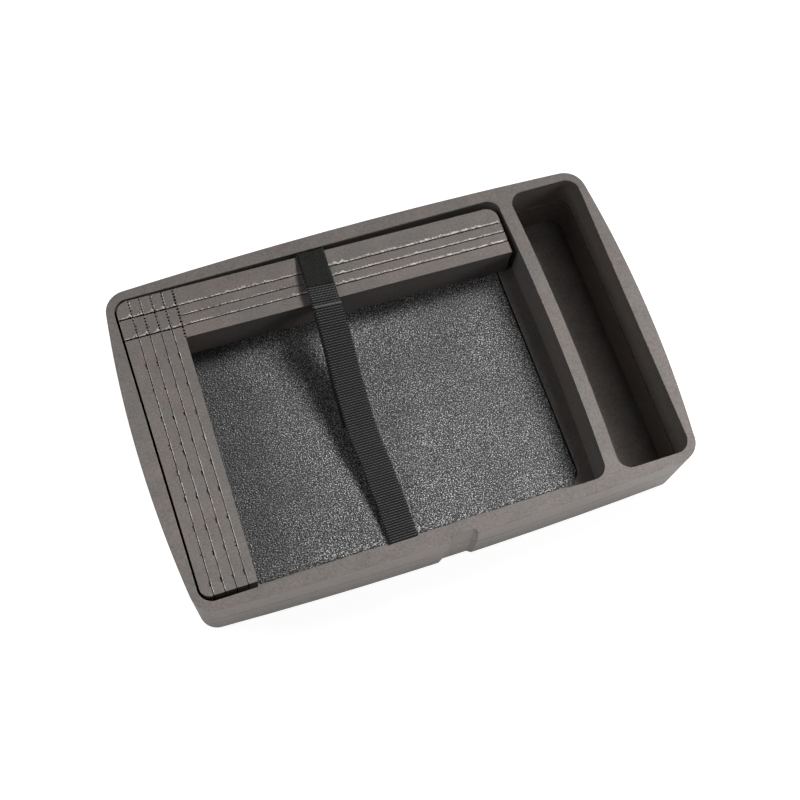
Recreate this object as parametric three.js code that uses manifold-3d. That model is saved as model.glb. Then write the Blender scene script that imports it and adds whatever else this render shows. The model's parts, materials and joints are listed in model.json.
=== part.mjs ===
// Divider set for a hard laptop case: a foam tray with a laptop bay, an L-shaped tear-off divider,
// an accessory pocket, a loose pad and a two-part hook-and-loop strap.
// Millimetres. X runs along the long side, Y to the back, Z up. The origin is under the middle of the base.
import * as THREE from 'three';
import { mergeVertices } from 'three/addons/utils/BufferGeometryUtils.js';
import Module from 'manifold-3d';

const wasm = await Module();
wasm.setup();

// Tray: outline at the rim, and how it draws in and leans to the right towards the base
const trayLength = 451;
const trayWidth = 293.5;
const endBow = 10.5;
const sideBow = 6;
const rimCornerRadius = 19;
const baseCornerRadius = 15;
const baseInset = 1.8;
const baseShift = 1.5;

// Tray: layers from the base up
const floorThickness = 3;
const lowerCourseHeight = 37;
const upperCourseHeight = 38;

// Tray: walls and openings of the upper course
const endWall = 14.3;
const sideWall = 12.8;
const pocketWidth = 63.7;
const partitionThickness = 11.9;
const partitionBow = 3.5;
const openingRadius = 12;

// Tray: openings of the lower course
const padLedge = 11.5;
const pocketLedge = 0.8;

// Tray: seams where the strips of the upper course are butted together, from the long sides' inner faces
const leftSeamBack = 12.5;
const leftSeamFront = 10.4;
const partitionSeamBack = 10.8;
const partitionSeamFront = 13;
const rightSeamBack = 25.4;
const rightSeamFront = 9;

// Tray: relief notch in the front side, which leans to the right on its way down and flares open there
const notchCentre = 2.8;
const notchWidth = 22;
const notchLean = 3;
const notchDepth = 4.3;
const notchRimFlareDegrees = 13;
const notchBaseFlareDegrees = 55;
const notchBaseLeftFlareDegrees = 62;

// Pad in the bay
const padGap = 0.5;

// L-shaped divider with its tear lines
const dividerHeight = 37;
const dividerLeftGap = 1;
const dividerBackGap = 0.5;
const dividerFrontGap = 2.9;
const dividerEndGap = 3.4;
const dividerFrontRadius = 9;
const dividerBackRadius = 11.5;
const outerColumn = 13;
const outerRow = 16.5;
const innerRow = 11.2;
const tearPitch = 9.4;
const tearCut = 0.5;
const leftStripCount = 5;
const backStripCount = 4;
const leftSkewDegrees = 0.6;
const leftEdgeSkewDegrees = 1;
const backSkewDegrees = 0.94;

// Strap of woven webbing in two halves, which overlap over the bay
const strapWidth = 24.5;
const strapThickness = 1.4;
const tapeThickness = 0.8;
const tapeMargin = 1;
const strapCentre = -37.5;
const strapTail = 8;
const strapFit = 0.3;
const seat = 0.25;
const frontStrapShort = 5.2;
const strapOverlap = 107.7;
const hookStart = 44;
const loopLead = 36;
const hingeGap = 0.3;
const strapRiseDegrees = 6;
const strapDropDegrees = 15;
const strapFrontHold = 0.35;
const strapBackHold = 0.43;

// Overrun of every cutter past the faces that it cuts
const overrun = 2;

// Number of segments in the curves
const bowSegments = 20;
const cornerSegments = 8;
const endSegments = 4;
const strapSegments = 14;

// Levels
const floorTop = floorThickness;
const lamination = floorTop + lowerCourseHeight;
const rim = lamination + upperCourseHeight;
const dividerTop = lamination + dividerHeight;

// Openings seen from above
const openingHalf = trayWidth / 2 - sideWall;
const bayLeft = -trayLength / 2 + endWall;
const pocketRight = trayLength / 2 - endWall;
const pocketLeft = pocketRight - pocketWidth;
const bayRight = pocketLeft - partitionThickness;
const recessHalf = openingHalf - padLedge;
const recessLeft = bayLeft + padLedge;
const recessRight = bayRight - padLedge;
const lowerSeam = recessHalf - openingRadius;

const foam = { color: 0x8b8682, roughness: 0.95, metalness: 0 };
const padFoam = { color: 0x3f4042, roughness: 0.9, metalness: 0 };
const webbing = { color: 0x1d1d1f, roughness: 0.8, metalness: 0 };

// Closed mesh to solid, and back
function solidOf(geometry) {
  const merged = geometry.clone();
  for (const name of Object.keys(merged.attributes)) {
    if (name !== 'position') merged.deleteAttribute(name);
  }
  const closed = mergeVertices(merged, 1e-5);
  return new wasm.Manifold(new wasm.Mesh({
    numProp: 3,
    vertProperties: new Float32Array(closed.attributes.position.array),
    triVerts: new Uint32Array(closed.index.array),
  }));
}

function geometryOf(solid) {
  const mesh = solid.getMesh();
  const geometry = new THREE.BufferGeometry();
  geometry.setAttribute('position', new THREE.BufferAttribute(new Float32Array(mesh.vertProperties), 3));
  geometry.setIndex(new THREE.BufferAttribute(new Uint32Array(mesh.triVerts), 1));
  geometry.computeVertexNormals();
  return geometry;
}

// Upright prism over a closed outline, from one level to another
function prism(points, low, high) {
  const geometry = new THREE.ExtrudeGeometry(new THREE.Shape(points), {
    depth: high - low,
    bevelEnabled: false,
    steps: 1,
  });
  return geometry.translate(0, 0, low);
}

// Solid between two outlines with the same number of points, one above the other
function loft(lowPoints, low, highPoints, high) {
  const count = lowPoints.length;
  const positions = [];
  for (const p of lowPoints) positions.push(p.x, p.y, low);
  for (const p of highPoints) positions.push(p.x, p.y, high);
  const indices = [];
  for (let i = 0; i < count; i += 1) {
    const j = (i + 1) % count;
    indices.push(i, j, count + j, i, count + j, count + i);
  }
  for (const [a, b, c] of THREE.ShapeUtils.triangulateShape(lowPoints, [])) {
    indices.push(a, c, b);
  }
  for (const [a, b, c] of THREE.ShapeUtils.triangulateShape(highPoints, [])) {
    indices.push(count + a, count + b, count + c);
  }
  const geometry = new THREE.BufferGeometry();
  geometry.setAttribute('position', new THREE.Float32BufferAttribute(positions, 3));
  geometry.setIndex(indices);
  return geometry;
}

function box(x0, x1, y0, y1, z0, z1) {
  const geometry = new THREE.BoxGeometry(x1 - x0, y1 - y0, z1 - z0);
  return geometry.translate((x0 + x1) / 2, (y0 + y1) / 2, (z0 + z1) / 2);
}

function arcPoints(centre, radius, from, to, segments) {
  const points = [];
  for (let i = 0; i <= segments; i += 1) {
    const angle = from + (to - from) * (i / segments);
    points.push(new THREE.Vector2(
      centre.x + radius * Math.cos(angle),
      centre.y + radius * Math.sin(angle),
    ));
  }
  return points;
}

// Outline of the tray at a level: four bowed sides, joined by corner arcs that touch both bows
function trayOutline(level) {
  const share = level / rim;
  const inset = baseInset * (1 - share);
  const radius = baseCornerRadius + (rimCornerRadius - baseCornerRadius) * share;
  const halfLength = trayLength / 2 - inset;
  const halfWidth = trayWidth / 2 - inset;
  const endRadius = (halfWidth ** 2 + endBow ** 2) / (2 * endBow);
  const sideRadius = (halfLength ** 2 + sideBow ** 2) / (2 * sideBow);
  const endCentre = new THREE.Vector2(halfLength - endRadius, 0);
  const sideCentre = new THREE.Vector2(0, halfWidth - sideRadius);
  const a = endRadius - radius;
  const b = sideRadius - radius;
  const span = endCentre.distanceTo(sideCentre);
  const along = (a ** 2 - b ** 2 + span ** 2) / (2 * span);
  const across = Math.sqrt(a ** 2 - along ** 2);
  const unit = sideCentre.clone().sub(endCentre).divideScalar(span);
  const meets = [1, -1].map((side) => new THREE.Vector2(
    endCentre.x + unit.x * along - side * unit.y * across,
    endCentre.y + unit.y * along + side * unit.x * across,
  ));
  const corner = meets.find((p) => p.x > 0 && p.y > 0);
  const endAngle = Math.atan2(corner.y - endCentre.y, corner.x - endCentre.x);
  const sideAngle = Math.atan2(corner.y - sideCentre.y, corner.x - sideCentre.x);
  const quarter = [
    ...arcPoints(endCentre, endRadius, 0, endAngle, bowSegments / 2).slice(0, -1),
    ...arcPoints(corner, radius, endAngle, sideAngle, cornerSegments),
    ...arcPoints(sideCentre, sideRadius, sideAngle, Math.PI / 2, bowSegments / 2).slice(1),
  ];
  const mirrorX = quarter.slice(0, -1).reverse().map((p) => new THREE.Vector2(-p.x, p.y));
  const half = [...quarter, ...mirrorX];
  const mirrorY = half.slice(1, -1).reverse().map((p) => new THREE.Vector2(p.x, -p.y));
  const lean = baseShift * (1 - share);
  return [...half, ...mirrorY].map((p) => new THREE.Vector2(p.x + lean, p.y));
}

// Rounded opening whose left or right side can be bowed towards +X
function openingOutline(left, right, half, radius, leftBow, rightBow) {
  const flat = half - radius;
  const shape = new THREE.Shape();
  shape.moveTo(left + radius, -half);
  shape.lineTo(right - radius, -half);
  shape.absarc(right - radius, -flat, radius, -Math.PI / 2, 0, false);
  shape.quadraticCurveTo(right + 2 * rightBow, 0, right, flat);
  shape.absarc(right - radius, flat, radius, 0, Math.PI / 2, false);
  shape.lineTo(left + radius, half);
  shape.absarc(left + radius, flat, radius, Math.PI / 2, Math.PI, false);
  shape.quadraticCurveTo(left + 2 * leftBow, 0, left, -flat);
  shape.absarc(left + radius, -flat, radius, Math.PI, 1.5 * Math.PI, false);
  const points = shape.getPoints(cornerSegments);
  return points.filter((p, i) => p.distanceTo(points[(i + 1) % points.length]) > 1e-6);
}

const bayOpening = openingOutline(bayLeft, bayRight, openingHalf, openingRadius, 0, partitionBow);
const pocketOpening = openingOutline(pocketLeft, pocketRight, openingHalf, openingRadius, partitionBow, 0);
const padRecess = openingOutline(recessLeft, recessRight, recessHalf, openingRadius, 0, 0);
const lowerPocket = openingOutline(
  pocketLeft + pocketLedge,
  pocketRight - pocketLedge,
  openingHalf - pocketLedge,
  openingRadius,
  partitionBow,
  0,
);

// Relief notch: an upright channel down the whole front side
function notchCutter() {
  const outside = -trayWidth / 2 - overrun;
  const inside = -trayWidth / 2 + notchDepth;
  const outline = (shift, leftDegrees, rightDegrees) => {
    const leftFlare = (inside - outside) * Math.tan(THREE.MathUtils.degToRad(leftDegrees));
    const rightFlare = (inside - outside) * Math.tan(THREE.MathUtils.degToRad(rightDegrees));
    return [
      new THREE.Vector2(notchCentre - notchWidth / 2 + shift - leftFlare, outside),
      new THREE.Vector2(notchCentre + notchWidth / 2 + shift + rightFlare, outside),
      new THREE.Vector2(notchCentre + notchWidth / 2 + shift, inside),
      new THREE.Vector2(notchCentre - notchWidth / 2 + shift, inside),
    ];
  };
  const low = outline(notchLean, notchBaseLeftFlareDegrees, notchBaseFlareDegrees);
  const high = outline(0, 0, notchRimFlareDegrees);
  return loft(low, -overrun, high, rim + overrun);
}

// Recess in the underside of an upper rail for the tail of a strap
function tailCutter(side) {
  const inner = side * (openingHalf - overrun);
  const outer = side * (openingHalf + strapTail + strapFit);
  const half = strapWidth / 2 + strapFit;
  return box(
    strapCentre - half,
    strapCentre + half,
    Math.min(inner, outer),
    Math.max(inner, outer),
    lamination - overrun,
    lamination + strapThickness + 2 * seat + strapFit,
  );
}

const group = new THREE.Group();

function add(name, geometry, finish, parent = group) {
  const mesh = new THREE.Mesh(geometry, new THREE.MeshStandardMaterial(finish));
  mesh.name = name;
  parent.add(mesh);
  return mesh;
}

// One course: the ring of foam between two levels, cut into its butt-jointed strips
function addCourse(prefix, low, high, openings, seams, extraCuts) {
  let ring = solidOf(loft(trayOutline(low), low, trayOutline(high), high));
  for (const opening of openings) {
    ring = ring.subtract(solidOf(prism(opening, low - overrun, high + overrun)));
  }
  for (const cutter of extraCuts) ring = ring.subtract(solidOf(cutter));
  const far = trayLength;
  const bayMiddle = (bayLeft + bayRight) / 2;
  const pocketMiddle = (pocketLeft + pocketRight) / 2;
  const spans = {
    left_rail: [-far, bayMiddle, ...seams.left],
    partition: [bayMiddle, pocketMiddle, ...seams.partition],
    right_rail: [pocketMiddle, far, ...seams.right],
  };
  for (const [name, [x0, x1, front, back]] of Object.entries(spans)) {
    const region = solidOf(box(x0, x1, -front, back, low - overrun, high + overrun));
    add(`${prefix}_${name}`, geometryOf(ring.intersect(region)), foam);
    ring = ring.subtract(region);
  }
  const backHalf = solidOf(box(-far, far, 0, far, low - overrun, high + overrun));
  add(`${prefix}_back_rail`, geometryOf(ring.intersect(backHalf)), foam);
  add(`${prefix}_front_rail`, geometryOf(ring.subtract(backHalf)), foam);
}

function addTray() {
  const sheet = solidOf(loft(trayOutline(0), 0, trayOutline(floorTop), floorTop));
  add('floor_sheet', geometryOf(sheet.subtract(solidOf(notchCutter()))), foam);
  const lowerSeams = {
    left: [lowerSeam, lowerSeam],
    partition: [lowerSeam, lowerSeam],
    right: [lowerSeam, lowerSeam],
  };
  const upperSeams = {
    left: [openingHalf - leftSeamFront, openingHalf - leftSeamBack],
    partition: [openingHalf - partitionSeamFront, openingHalf - partitionSeamBack],
    right: [openingHalf - rightSeamFront, openingHalf - rightSeamBack],
  };
  addCourse('lower', floorTop, lamination, [padRecess, lowerPocket], lowerSeams, [notchCutter()]);
  addCourse('upper', lamination, rim, [bayOpening, pocketOpening], upperSeams, [
    notchCutter(),
    tailCutter(1),
    tailCutter(-1),
  ]);
}

function addPad() {
  const outline = openingOutline(
    recessLeft + padGap,
    recessRight - padGap,
    recessHalf - padGap,
    openingRadius - padGap,
    0,
    0,
  );
  add('bay_pad', prism(outline, floorTop, lamination), padFoam);
}

// Tear lines of the divider. A column line gives x for a y, a row line gives y for an x.
const leftSlope = Math.tan(THREE.MathUtils.degToRad(leftSkewDegrees));
const leftEdgeSlope = Math.tan(THREE.MathUtils.degToRad(leftEdgeSkewDegrees));
const backSlope = -Math.tan(THREE.MathUtils.degToRad(backSkewDegrees));
const dividerLeft = bayLeft + dividerLeftGap;
const dividerBack = openingHalf - dividerBackGap;
const dividerFront = -openingHalf + dividerFrontGap;
const dividerEnd = bayRight - dividerEndGap;

const columnLines = [{ at: dividerLeft, slope: 0 }];
for (let i = 0; i < leftStripCount; i += 1) {
  const slope = i < leftStripCount - 1 ? leftSlope : leftEdgeSlope;
  columnLines.push({ at: dividerLeft + outerColumn + tearPitch * i, slope });
}
const endLine = { at: dividerEnd, slope: -backSlope };

const rowLines = [{ at: dividerBack, slope: backSlope }];
for (let i = 0; i < backStripCount - 1; i += 1) {
  rowLines.push({ at: dividerBack - outerRow - tearPitch * i, slope: backSlope });
}
const innerEdge = rowLines[backStripCount - 1].at - innerRow;
rowLines.push({ at: innerEdge, slope: backSlope });
const frontLine = { at: dividerFront, slope: 0 };

function crossing(column, row) {
  const x = (column.at + column.slope * (row.at - row.slope * dividerLeft - dividerBack))
    / (1 - column.slope * row.slope);
  const y = row.at + row.slope * (x - dividerLeft);
  return new THREE.Vector2(x, y);
}

const shifted = (line, by) => ({ at: line.at + by, slope: line.slope });

// Outline with some of its corners rounded, counter-clockwise from the given corners
function roundedOutline(corners, radii) {
  const points = [];
  corners.forEach((corner, i) => {
    const radius = radii[i];
    if (!radius) {
      points.push(corner);
      return;
    }
    const before = corners[(i + corners.length - 1) % corners.length].clone().sub(corner).normalize();
    const after = corners[(i + 1) % corners.length].clone().sub(corner).normalize();
    const half = Math.acos(before.dot(after)) / 2;
    const reach = radius / Math.tan(half);
    const start = corner.clone().addScaledVector(before, reach);
    const end = corner.clone().addScaledVector(after, reach);
    const towards = before.clone().add(after).normalize();
    const centre = corner.clone().addScaledVector(towards, radius / Math.sin(half));
    const from = Math.atan2(start.y - centre.y, start.x - centre.x);
    let to = Math.atan2(end.y - centre.y, end.x - centre.x);
    if (to < from) to += 2 * Math.PI;
    points.push(...arcPoints(centre, radius, from, to, cornerSegments));
  });
  return points;
}

// One piece of the divider between two column lines and two row lines
function addCell(name, left, right, front, back, radii = {}) {
  const corners = [
    crossing(left, front),
    crossing(right, front),
    crossing(right, back),
    crossing(left, back),
  ];
  const outline = roundedOutline(corners, [
    radii.frontLeft ?? 0,
    radii.frontRight ?? 0,
    radii.backRight ?? 0,
    radii.backLeft ?? 0,
  ]);
  add(name, prism(outline, lamination, dividerTop), foam);
}

function addDivider() {
  const cut = tearCut / 2;
  const cornerRows = [0, 1, backStripCount - 1];
  const lastColumn = columnLines[leftStripCount];
  for (let i = 0; i < leftStripCount; i += 1) {
    const left = i === 0 ? columnLines[0] : shifted(columnLines[i], cut);
    const right = i === leftStripCount - 1 ? lastColumn : shifted(columnLines[i + 1], -cut);
    const inCorner = shifted(columnLines[i + 1], -cut);
    addCell(
      `left_strip_${i + 1}`,
      left,
      right,
      frontLine,
      shifted(rowLines[backStripCount - 1], -cut),
      i === 0 ? { frontLeft: dividerFrontRadius } : {},
    );
    for (let j = 0; j < 2; j += 1) {
      const back = j === 0 ? rowLines[0] : shifted(rowLines[cornerRows[j]], -cut);
      const front = shifted(rowLines[cornerRows[j + 1]], cut);
      const rounded = i === 0 && j === 0 ? { backLeft: dividerBackRadius } : {};
      addCell(`corner_block_${j + 1}_${i + 1}`, left, inCorner, front, back, rounded);
    }
  }
  for (let j = 0; j < backStripCount; j += 1) {
    const back = j === 0 ? rowLines[0] : shifted(rowLines[j], -cut);
    const front = j === backStripCount - 1 ? rowLines[backStripCount] : shifted(rowLines[j + 1], cut);
    addCell(
      `back_strip_${j + 1}`,
      shifted(lastColumn, cut),
      endLine,
      front,
      back,
      j === 0 ? { backRight: dividerBackRadius } : {},
    );
  }
}

// Flat band seen from the side: a route in Y and Z, given a thickness and run along X
function band(route, thickness, width, roundStart) {
  const left = [];
  const right = [];
  route.forEach((point, i) => {
    const before = route[Math.max(i - 1, 0)];
    const after = route[Math.min(i + 1, route.length - 1)];
    const inward = i > 0 ? point.clone().sub(before).normalize() : after.clone().sub(point).normalize();
    const outward = i < route.length - 1 ? after.clone().sub(point).normalize() : inward.clone();
    const mean = inward.clone().add(outward).normalize();
    const normal = new THREE.Vector2(-mean.y, mean.x);
    const spread = thickness / 2 / mean.dot(inward);
    left.push(point.clone().addScaledVector(normal, spread));
    right.push(point.clone().addScaledVector(normal, -spread));
  });
  const outline = [...right, ...left.reverse()];
  if (roundStart) {
    const first = route[0];
    const ahead = route[1].clone().sub(first);
    const angle = Math.atan2(ahead.y, ahead.x);
    const cap = arcPoints(first, thickness / 2, angle + Math.PI / 2, angle + 1.5 * Math.PI, endSegments);
    outline.push(...cap.slice(1, -1));
  }
  // Local x, y and depth of the outline become Y, Z and X of the tray
  const geometry = new THREE.ExtrudeGeometry(new THREE.Shape(outline), {
    depth: width,
    bevelEnabled: false,
    steps: 1,
  });
  const turn = new THREE.Matrix4().makeBasis(
    new THREE.Vector3(0, 1, 0),
    new THREE.Vector3(0, 0, 1),
    new THREE.Vector3(1, 0, 0),
  );
  return geometry.applyMatrix4(turn).translate(strapCentre - width / 2, 0, 0);
}

// Straps. Both tails are held between the two courses. The front half rises from the front ledge to the
// top of the divider, the rear half comes up behind the divider and lies under the front half.
function addStraps() {
  const half = strapThickness / 2;
  const tailLevel = lamination + seat + half;
  const stack = strapThickness + 2 * tapeThickness + 3 * seat;
  const rearLevel = dividerTop + seat + half;
  const riserY = openingHalf - seat - half;
  const frontHinge = new THREE.Vector2(-openingHalf + half + strapFit, tailLevel);
  const rearHinge = new THREE.Vector2(riserY, rearLevel);
  const strapSide = strapCentre - strapWidth / 2 - dividerLeft;
  const bend = new THREE.Vector2(innerEdge + backSlope * (strapSide + strapWidth) - seat, rearLevel);

  // The slack strap leaves the front ledge at one slope, sags, and comes up to the divider at another
  const riseAngle = THREE.MathUtils.degToRad(strapRiseDegrees);
  const dropAngle = THREE.MathUtils.degToRad(strapDropDegrees);
  const riseAlong = new THREE.Vector2(Math.cos(riseAngle), Math.sin(riseAngle));
  const dropAlong = new THREE.Vector2(Math.cos(dropAngle), Math.sin(dropAngle));
  const frontTop = bend.clone().addScaledVector(new THREE.Vector2(-dropAlong.y, dropAlong.x), stack);
  const chord = frontTop.distanceTo(frontHinge);
  const curve = new THREE.CubicBezierCurve(
    frontHinge,
    frontHinge.clone().addScaledVector(riseAlong, strapFrontHold * chord),
    frontTop.clone().addScaledVector(dropAlong, -strapBackHold * chord),
    frontTop,
  );

  // Distances along the front half, at which it passes the divider's edge and at which each half ends
  const edgeReach = curve.getLength();
  const frontReach = edgeReach - frontStrapShort;
  const overlapReach = edgeReach - strapOverlap;
  const onFront = (distance, depth) => {
    const tangent = curve.getTangentAt(distance / edgeReach);
    const below = new THREE.Vector2(tangent.y, -tangent.x);
    return curve.getPointAt(distance / edgeReach).addScaledVector(below, depth);
  };
  const run = (from, to, depth) => {
    const count = Math.ceil(strapSegments * Math.abs(to - from) / edgeReach);
    const points = [];
    for (let i = 0; i <= count; i += 1) points.push(onFront(from + (to - from) * i / count, depth));
    return points;
  };

  const frontTailStart = new THREE.Vector2(-openingHalf - strapTail, tailLevel);
  const frontTailEnd = new THREE.Vector2(frontHinge.x - half - hingeGap, tailLevel);
  add('front_strap_tail', band([frontTailStart, frontTailEnd], strapThickness, strapWidth, false), webbing);
  const frontRoute = run(0, frontReach, 0);
  add('front_strap', band(frontRoute, strapThickness, strapWidth, true), webbing);
  const hookDepth = half + seat + tapeThickness / 2;
  const hookRoute = run(hookStart, frontReach - tapeMargin, hookDepth);
  add('hook_tape', band(hookRoute, tapeThickness, strapWidth - 2 * tapeMargin, false), webbing);

  const rearTailStart = new THREE.Vector2(openingHalf + strapTail, tailLevel);
  const rearCorner = new THREE.Vector2(riserY, tailLevel);
  const riserTop = new THREE.Vector2(riserY, rearLevel - half - hingeGap);
  add('rear_strap_tail', band([rearTailStart, rearCorner, riserTop], strapThickness, strapWidth, false), webbing);
  const rearRoute = [rearHinge, ...run(edgeReach, overlapReach, stack)];
  add('rear_strap', band(rearRoute, strapThickness, strapWidth, true), webbing);
  const loopDepth = stack - half - seat - tapeThickness / 2;
  const loopRoute = run(overlapReach + tapeMargin, frontReach - tapeMargin, loopDepth);
  add('loop_tape', band(loopRoute, tapeThickness, strapWidth - 2 * tapeMargin, false), webbing);
  const leadLevel = rearLevel + half + seat + tapeThickness / 2;
  const leadRoute = [
    new THREE.Vector2(rearHinge.x - tapeMargin, leadLevel),
    new THREE.Vector2(rearHinge.x - loopLead, leadLevel),
  ];
  add('loop_lead', band(leadRoute, tapeThickness, strapWidth - 2 * tapeMargin, false), webbing);
}

addTray();
addPad();
addDivider();
addStraps();

export default group;
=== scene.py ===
import json
import math
from collections import namedtuple

import bmesh
import bpy
from mathutils import Matrix, Vector, noise


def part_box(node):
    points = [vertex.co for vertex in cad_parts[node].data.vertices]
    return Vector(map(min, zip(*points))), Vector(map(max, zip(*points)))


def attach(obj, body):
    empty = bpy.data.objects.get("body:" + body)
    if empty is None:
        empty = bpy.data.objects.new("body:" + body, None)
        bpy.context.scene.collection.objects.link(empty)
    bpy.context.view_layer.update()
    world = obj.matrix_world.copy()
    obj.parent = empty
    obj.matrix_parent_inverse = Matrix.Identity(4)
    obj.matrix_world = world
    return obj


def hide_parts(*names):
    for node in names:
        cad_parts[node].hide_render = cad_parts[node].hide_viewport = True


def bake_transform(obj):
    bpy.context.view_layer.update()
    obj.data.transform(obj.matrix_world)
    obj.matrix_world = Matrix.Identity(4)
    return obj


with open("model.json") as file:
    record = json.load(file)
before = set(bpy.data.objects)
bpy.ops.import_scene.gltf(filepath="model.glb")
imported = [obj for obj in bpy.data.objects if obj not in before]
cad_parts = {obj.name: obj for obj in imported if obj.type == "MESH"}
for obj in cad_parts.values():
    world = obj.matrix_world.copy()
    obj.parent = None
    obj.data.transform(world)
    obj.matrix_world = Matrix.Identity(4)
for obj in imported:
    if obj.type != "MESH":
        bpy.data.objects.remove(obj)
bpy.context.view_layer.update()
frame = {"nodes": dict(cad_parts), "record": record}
bodies = frame["record"]["behaviour"]["bodies"]
body_of = {node: body for body, nodes in bodies.items() for node in nodes}

# Levels and walls of the tray, in metres

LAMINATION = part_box("bay_pad")[1].z
DIVIDER_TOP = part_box("left_strip_1")[1].z
FLOOR_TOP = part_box("floor_sheet")[1].z
BACK_WALL = 0.13395


# Small helpers

def clamped(value):
    return max(0, min(1, value))


def eased(share):
    """A share from 0 to 1 that starts and ends softly."""
    return share * share * (3 - 2 * share)


def rough(*at):
    """Smooth noise between about -1 and 1, the same at each run."""
    return noise.noise(Vector(at))


# Camera, solved from the tray's edges in the photograph

CAMERA_PLACE = Vector((-0.2172, -0.3549, 1.1093))
CAMERA_FORWARD = Vector((0.18938, 0.30324, -0.93390))
CAMERA_UP = Vector((0.28011, 0.89491, 0.34739))
FOCAL_PIXELS = 1331.3
IMAGE_SIDE = 800


def add_camera():
    data = bpy.data.cameras.new("camera")
    data.sensor_width = 36
    data.lens = FOCAL_PIXELS * data.sensor_width / IMAGE_SIDE
    camera = bpy.data.objects.new("camera", data)
    right = CAMERA_FORWARD.cross(CAMERA_UP).normalized()
    up = right.cross(CAMERA_FORWARD).normalized()
    turn = Matrix((right, up, -CAMERA_FORWARD.normalized())).transposed()
    camera.matrix_world = Matrix.Translation(CAMERA_PLACE) @ turn.to_4x4()
    bpy.context.collection.objects.link(camera)
    bpy.context.scene.camera = camera


add_camera()


# Materials

class Wire:
    """A value or colour on its way through a material's nodes."""

    def __init__(self, tree, socket):
        self.tree = tree
        self.socket = socket

    def maths(self, operation, first, second=None):
        node = self.tree.nodes.new("ShaderNodeMath")
        node.operation = operation
        for socket, value in zip(node.inputs, (first, second)):
            if isinstance(value, Wire):
                self.tree.links.new(value.socket, socket)
            elif value is not None:
                socket.default_value = value
        return Wire(self.tree, node.outputs[0])

    def __add__(self, other):
        return self.maths("ADD", self, other)

    def __radd__(self, other):
        return self.maths("ADD", other, self)

    def __sub__(self, other):
        return self.maths("SUBTRACT", self, other)

    def __rsub__(self, other):
        return self.maths("SUBTRACT", other, self)

    def __mul__(self, other):
        return self.maths("MULTIPLY", self, other)

    def __rmul__(self, other):
        return self.maths("MULTIPLY", other, self)

    def below(self, level):
        return self.maths("LESS_THAN", self, level)

    def wave(self):
        return self.maths("SINE", self)


MIX_SHARE = 0
MIX_FIRST = 6
MIX_SECOND = 7
MIX_RESULT = 2


class Nodes:
    """A tree of nodes under construction."""

    def __init__(self, tree):
        self.tree = tree
        self.tree.nodes.clear()

    def node(self, kind, settings=None, values=None, output=0):
        """Adds a node with its settings, gives its inputs wires or plain values, and returns an output."""
        node = self.tree.nodes.new(kind)
        for name, value in (settings or {}).items():
            if name == "stops":
                for stop, (place, colour) in zip(node.color_ramp.elements, value):
                    stop.position = place
                    stop.color = (*colour, 1)
            else:
                setattr(node, name, value)
        for name, value in (values or {}).items():
            if isinstance(value, Wire):
                self.tree.links.new(value.socket, node.inputs[name])
            else:
                node.inputs[name].default_value = value
        return Wire(self.tree, node.outputs[output]) if node.outputs else None


class Finish(Nodes):
    """A material under construction."""

    def __init__(self, name):
        self.material = bpy.data.materials.new(name)
        self.material.use_nodes = True
        super().__init__(self.material.node_tree)

    def place(self):
        return self.node("ShaderNodeTexCoord", output="Object")

    def parts(self, vector):
        """The X, Y and Z of a vector."""
        split = self.node("ShaderNodeSeparateXYZ", values={"Vector": vector}).socket.node
        return [Wire(self.tree, output) for output in split.outputs]

    def along_and_across(self):
        """A strap's own coordinates, in metres along it and across it."""
        return self.parts(self.node("ShaderNodeUVMap", settings={"uv_map": "run"}))[:2]

    def stretched(self, place, scale):
        return self.node("ShaderNodeMapping", values={"Vector": place, "Scale": scale})

    def grain(self, place, scale, detail=2, rough=0.5):
        return self.node("ShaderNodeTexNoise", values={
            "Vector": place, "Scale": scale, "Detail": detail, "Roughness": rough})

    def cells(self, place, scale):
        """How far a place lies from the middle of its cell."""
        return self.node("ShaderNodeTexVoronoi", values={"Vector": place, "Scale": scale})

    def ramp(self, value, low, high, first, second):
        """The first colour where the value is low, and the second where it is high."""
        return self.node("ShaderNodeValToRGB", {"stops": [(low, first), (high, second)]}, {"Fac": value})

    def spread(self, value, low, high, least=0):
        """The value stretched, so that low gives the least and high gives 1."""
        return self.node("ShaderNodeMapRange", values={
            "Value": value, "From Min": low, "From Max": high, "To Min": least})

    def mix(self, share, first, second, blend="MIX"):
        first, second = (c if isinstance(c, Wire) else (*c, 1) for c in (first, second))
        values = {MIX_SHARE: share, MIX_FIRST: first, MIX_SECOND: second}
        return self.node("ShaderNodeMix", {"data_type": "RGBA", "blend_type": blend}, values, MIX_RESULT)

    def bump(self, height, strength, distance, under=None):
        values = {"Height": height, "Strength": strength, "Distance": distance}
        if under:
            values["Normal"] = under
        return self.node("ShaderNodeBump", values=values)

    def surface(self, colour, normal, roughness, specular):
        return self.finished(self.node("ShaderNodeBsdfPrincipled", values={
            "Base Color": colour, "Roughness": roughness, "Normal": normal, "Specular IOR Level": specular}))

    def finished(self, shader):
        self.node("ShaderNodeOutputMaterial", values={"Surface": shader})
        return self.material


def grey(level):
    return level, level, level


FOAM_WARM = (0.166, 0.142, 0.133)
FOAM_COOL = (0.149, 0.138, 0.128)
# The next two: the colour and height of a thin dark line of painted shade, where two courses meet
JOINT_SHADE = (0.012, 0.011, 0.01)
JOINT_SHADE_HEIGHT = 0.0013
# The painted shade line at the joint shows past these distances from the middle, which is outside the bay and
# the pocket
OUTSIDE_X = 0.2172
OUTSIDE_Y = 0.139


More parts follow.
